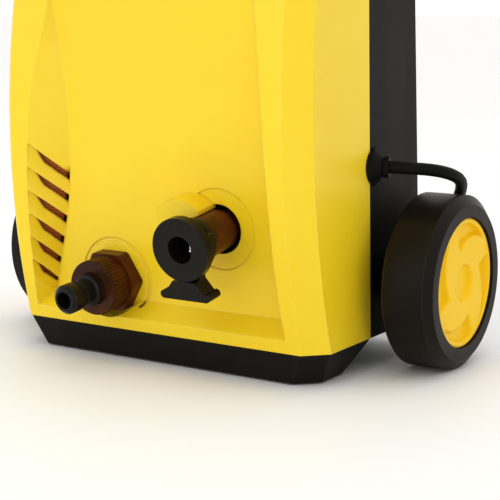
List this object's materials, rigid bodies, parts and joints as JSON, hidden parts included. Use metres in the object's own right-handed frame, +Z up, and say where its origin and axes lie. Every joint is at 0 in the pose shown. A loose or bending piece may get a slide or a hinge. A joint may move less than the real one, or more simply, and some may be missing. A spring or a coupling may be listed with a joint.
{
  "type": "pressure washer",
  "caption": "Upright wheeled electric pressure washer with a front water inlet, hose outlet, louvred recess, pull-out handle, rotary switch and mains lead.",
  "frame": {"origin": "on the floor, below the middle of the object's box without its mains lead", "axes": "+X to the right seen from the front, +Y to the back, +Z up; the inlet and outlet face -Y"},
  "size_m": [0.312, 0.3283, 0.468],
  "materials": {
    "housing_yellow": "satin moulded plastic",
    "housing_black": "fine moulded grain",
    "wheel_black": "smooth moulded plastic",
    "grip_black": "soft-touch grip",
    "knob_black": "fine grain",
    "tube_metal": "anodised",
    "connector_black": "smooth moulded plastic",
    "seal_rubber": "matt",
    "cord_black": "rubber sheath",
    "tie_black": "woven strap",
    "steel": "bright",
    "nickel": "plated",
    "alloy": "die cast",
    "brass": "turned",
    "copper": "enamelled wire",
    "inner_plastic": "plain",
    "carbon": "sintered"
  },
  "bodies": {
    "frame": {"base_plinth": "housing_black", "rubber_feet": "seal_rubber", "front_cover": "housing_yellow", "rear_cover": "housing_black", "housing_screws": "steel", "switch_bezel": "housing_black", "switch_box": "inner_plastic", "handle_guides": "housing_black", "handle_detents": "steel", "axle": "steel", "axle_retainers": "steel", "inlet_port": "connector_black", "inlet_nipple": "connector_black", "inlet_filter": "inner_plastic", "nipple_seal": "seal_rubber", "outlet_socket": "connector_black", "outlet_seal": "seal_rubber", "cable_gland": "cord_black", "power_cord": "cord_black", "cord_coil": "cord_black", "cord_tie": "tie_black", "plug_body": "cord_black", "plug_pins": "nickel", "stator": "steel", "field_windings": "copper", "upper_bracket": "inner_plastic", "lower_bracket": "alloy", "upper_bearing": "steel", "lower_bearing": "steel", "brush_holders": "inner_plastic", "carbon_brushes": "carbon", "cylinder_head": "alloy", "cylinder_block": "alloy", "pistons": "steel", "piston_springs": "steel", "pump_housing": "alloy", "valve_plugs": "brass", "unloader_valve": "brass", "pressure_switch": "inner_plastic", "pump_mounts": "seal_rubber", "motor_pad": "seal_rubber", "capacitor": "inner_plastic", "terminal_block": "inner_plastic"},
    "left_wheel": {"wheel_left": "wheel_black", "hub_cap_left": "housing_yellow"},
    "right_wheel": {"wheel_right": "wheel_black", "hub_cap_right": "housing_yellow"},
    "handle": {"handle_tube_left": "tube_metal", "handle_tube_right": "tube_metal", "handle_grip": "grip_black", "handle_stops": "inner_plastic"},
    "switch": {"switch_knob": "knob_black", "switch_spindle": "inner_plastic"},
    "union_nut": {"inlet_union_nut": "connector_black"},
    "hose_clip": {"outlet_clip": "connector_black"},
    "armature": {"rotor": "steel", "armature_windings": "copper", "commutator": "copper", "motor_fan": "inner_plastic", "swash_plate": "steel"}
  },
  "joints": [
    {"name": "left_wheel_spin", "type": "hinge", "parent": "frame", "child": "left_wheel", "pos_m": [-0.14, 0.04168, 0.0514], "axis": [1, 0, 0], "continuous": true},
    {"name": "right_wheel_spin", "type": "hinge", "parent": "frame", "child": "right_wheel", "pos_m": [0.14, 0.04168, 0.0514], "axis": [1, 0, 0], "continuous": true},
    {"name": "handle_slide", "type": "slide", "parent": "frame", "child": "handle", "axis": [0, 0, 1], "range_m": [0, 0.25]},
    {"name": "switch_turn", "type": "hinge", "parent": "frame", "child": "switch", "pos_m": [0, -0.03996, 0.306], "axis": [0, -0.9418, 0.3361], "range_deg": [-90, 0]},
    {"name": "union_nut_turn", "type": "hinge", "parent": "frame", "child": "union_nut", "pos_m": [-0.036, -0.05857, 0.04646], "axis": [0, -0.9941, -0.1086], "continuous": true},
    {"name": "hose_clip_slide", "type": "slide", "parent": "frame", "child": "hose_clip", "axis": [0, 0.1674, -0.9859], "range_m": [0, 0.008]},
    {"name": "armature_spin", "type": "hinge", "parent": "frame", "child": "armature", "pos_m": [0, 0.01378, 0.2], "axis": [0, 0, 1], "continuous": true}
  ]
}
